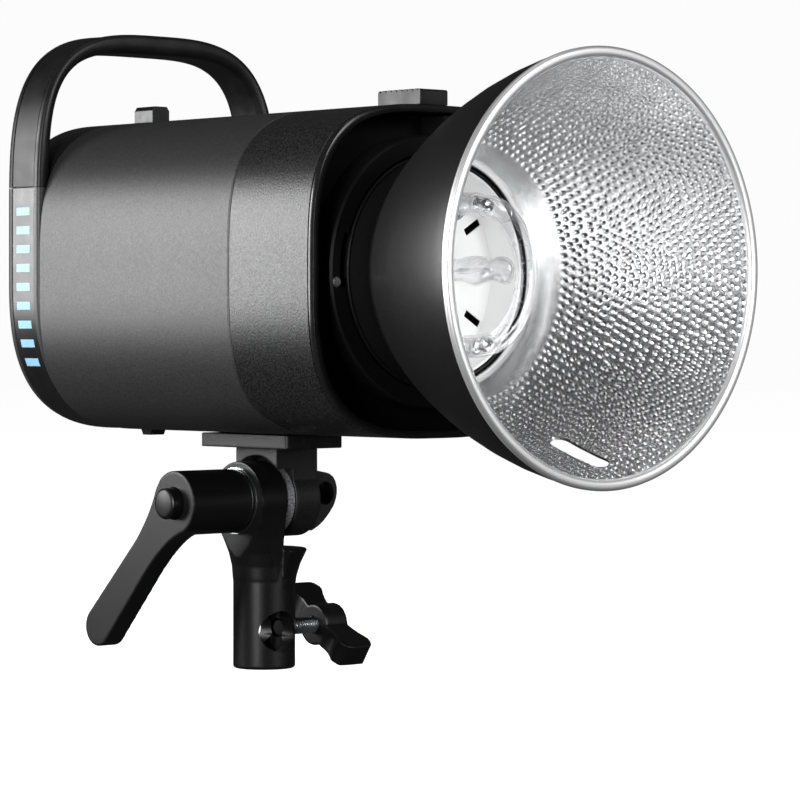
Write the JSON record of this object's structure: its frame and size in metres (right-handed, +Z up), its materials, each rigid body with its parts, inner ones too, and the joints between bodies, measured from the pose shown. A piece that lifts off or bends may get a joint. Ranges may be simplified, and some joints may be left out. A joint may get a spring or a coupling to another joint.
{
  "type": "monolight strobe",
  "caption": "Mains studio flash head with a squircle body, hoop handle, bayonet bowl reflector and a tilting stand bracket with lever and wing knob.",
  "frame": {"origin": "centre of the stand socket's mouth, at the lower end of the socket barrel", "axes": "+Z up along the socket barrel, -Y is the way the lamp fires with the head level, +X to the wing knob's side; the locking lever is on the -X side"},
  "size_m": [0.18, 0.3215, 0.2902],
  "materials": {
    "painted_grey": "satin grey powder coat with a fine metallic speckle",
    "painted_black": "black powder coat with a coarse speckle",
    "cast_black": "black paint on a sand-cast surface",
    "black_plastic": "fine-grained black plastic",
    "grey_plastic": "satin grey plastic",
    "marked_strip": "printed strip",
    "rubber": "matt",
    "clear_plastic": "moulded clear window",
    "clear_glass": "fire-polished tube",
    "steel": "machined",
    "silver_reflector": "hammered bright inside, satin black outside",
    "heat_sink_metal": "mill finish",
    "white_ceramic": "white",
    "circuit_board": "solder mask",
    "copper_winding": "enamelled winding",
    "brass": "turned"
  },
  "bodies": {
    "stand": {"stand_socket": "cast_black"},
    "head": {"front_housing": "painted_black", "rear_shell": "painted_grey", "handle_arch": "black_plastic", "handle_cover": "black_plastic", "lower_band": "grey_plastic", "band_inlay": "marked_strip", "rear_bezel": "black_plastic", "bottom_foot": "rubber", "slave_sensor": "clear_plastic", "rear_panel": "black_plastic", "display_window": "clear_plastic", "switch_frame": "black_plastic", "mains_inlet": "black_plastic", "fuse_holder": "black_plastic", "sync_jack": "steel", "bulkhead": "steel", "fan_frame": "black_plastic", "main_board": "circuit_board", "flash_capacitor_1": "black_plastic", "flash_capacitor_2": "black_plastic", "flash_capacitor_3": "black_plastic", "transformer": "copper_winding", "heat_sink": "heat_sink_metal", "base_plate": "white_ceramic", "flash_tube": "clear_glass", "tube_socket_upper": "steel", "tube_socket_lower": "steel", "lamp_socket": "white_ceramic", "modelling_lamp": "clear_glass", "mount_ring": "cast_black", "mount_screw_1": "steel", "mount_screw_2": "steel", "mount_screw_3": "steel", "latch_housing": "black_plastic", "tilt_bracket": "cast_black", "friction_washer": "steel"},
    "latch": {"release_slider": "black_plastic", "latch_pin": "steel"},
    "reflector": {"reflector_bowl": "silver_reflector", "reflector_mount_ring": "cast_black"},
    "fan": {"fan_rotor": "black_plastic"},
    "key_1": {"button_1": "grey_plastic"},
    "key_2": {"button_2": "grey_plastic"},
    "key_3": {"button_3": "grey_plastic"},
    "key_4": {"button_4": "grey_plastic"},
    "encoder": {"encoder_shaft": "steel"},
    "dial": {"dial_cap": "black_plastic"},
    "rocker": {"power_rocker": "black_plastic"},
    "fuse_plug": {"fuse_cap": "black_plastic"},
    "lever_insert": {"pivot_screw": "black_plastic", "lever_core": "steel", "lever_spring": "steel", "lever_washer": "steel"},
    "lever_handle": {"lever": "painted_black"},
    "clamp_slider": {"clamp_pad": "brass"},
    "clamp_screw_knob": {"clamp_screw": "steel", "clamp_knob": "black_plastic"}
  },
  "joints": [
    {"name": "head_tilt", "type": "hinge", "parent": "stand", "child": "head", "pos_m": [0, 0, 0.0757], "axis": [1, 0, 0], "range_deg": [-55, 80]},
    {"name": "reflector_twist", "type": "hinge", "parent": "head", "child": "reflector", "pos_m": [0, -0.11, 0.177], "axis": [0, -1, 0], "range_deg": [0, 25]},
    {"name": "mount_release", "type": "slide", "parent": "head", "child": "latch", "axis": [0, 1, 0], "range_m": [0, 0.0045], "stiffness_N_per_m": 400},
    {"name": "fan_spin", "type": "hinge", "parent": "head", "child": "fan", "pos_m": [0, -0.0795, 0.177], "axis": [0, 1, 0], "continuous": true},
    {"name": "button_1_press", "type": "slide", "parent": "head", "child": "key_1", "axis": [0, -1, 0], "range_m": [0, 0.0008], "stiffness_N_per_m": 500},
    {"name": "button_2_press", "type": "slide", "parent": "head", "child": "key_2", "axis": [0, -1, 0], "range_m": [0, 0.0008], "stiffness_N_per_m": 500},
    {"name": "button_3_press", "type": "slide", "parent": "head", "child": "key_3", "axis": [0, -1, 0], "range_m": [0, 0.0008], "stiffness_N_per_m": 500},
    {"name": "button_4_press", "type": "slide", "parent": "head", "child": "key_4", "axis": [0, -1, 0], "range_m": [0, 0.0008], "stiffness_N_per_m": 500},
    {"name": "dial_press", "type": "slide", "parent": "head", "child": "encoder", "axis": [0, -1, 0], "range_m": [0, 0.001], "stiffness_N_per_m": 800},
    {"name": "dial_turn", "type": "hinge", "parent": "encoder", "child": "dial", "pos_m": [0, 0.1, 0.167], "axis": [0, -1, 0], "continuous": true},
    {"name": "power_switch", "type": "hinge", "parent": "head", "child": "rocker", "pos_m": [-0.012, 0.092, 0.137], "axis": [1, 0, 0], "range_deg": [0, 16]},
    {"name": "fuse_cap_turn", "type": "hinge", "parent": "head", "child": "fuse_plug", "pos_m": [-0.033, 0.092, 0.141], "axis": [0, -1, 0], "range_deg": [0, 90]},
    {"name": "lever_turn", "type": "hinge", "parent": "head", "child": "lever_insert", "pos_m": [0, 0, 0.0757], "axis": [1, 0, 0], "range_deg": [-60, 35]},
    {"name": "lever_pull", "type": "slide", "parent": "lever_insert", "child": "lever_handle", "axis": [-1, 0, 0], "range_m": [0, 0.004], "stiffness_N_per_m": 900},
    {"name": "screw_advance", "type": "slide", "parent": "stand", "child": "clamp_slider", "axis": [1, 0, 0], "range_m": [-0.0025, 0.00375]},
    {"name": "knob_turn", "type": "hinge", "parent": "clamp_slider", "child": "clamp_screw_knob", "pos_m": [0.03, 0, 0.0175], "axis": [1, 0, 0], "range_deg": [-720, 1080]}
  ],
  "couplings": [
    {"joint": "screw_advance", "follows": "knob_turn", "m_per_rad": 0.00019894}
  ]
}
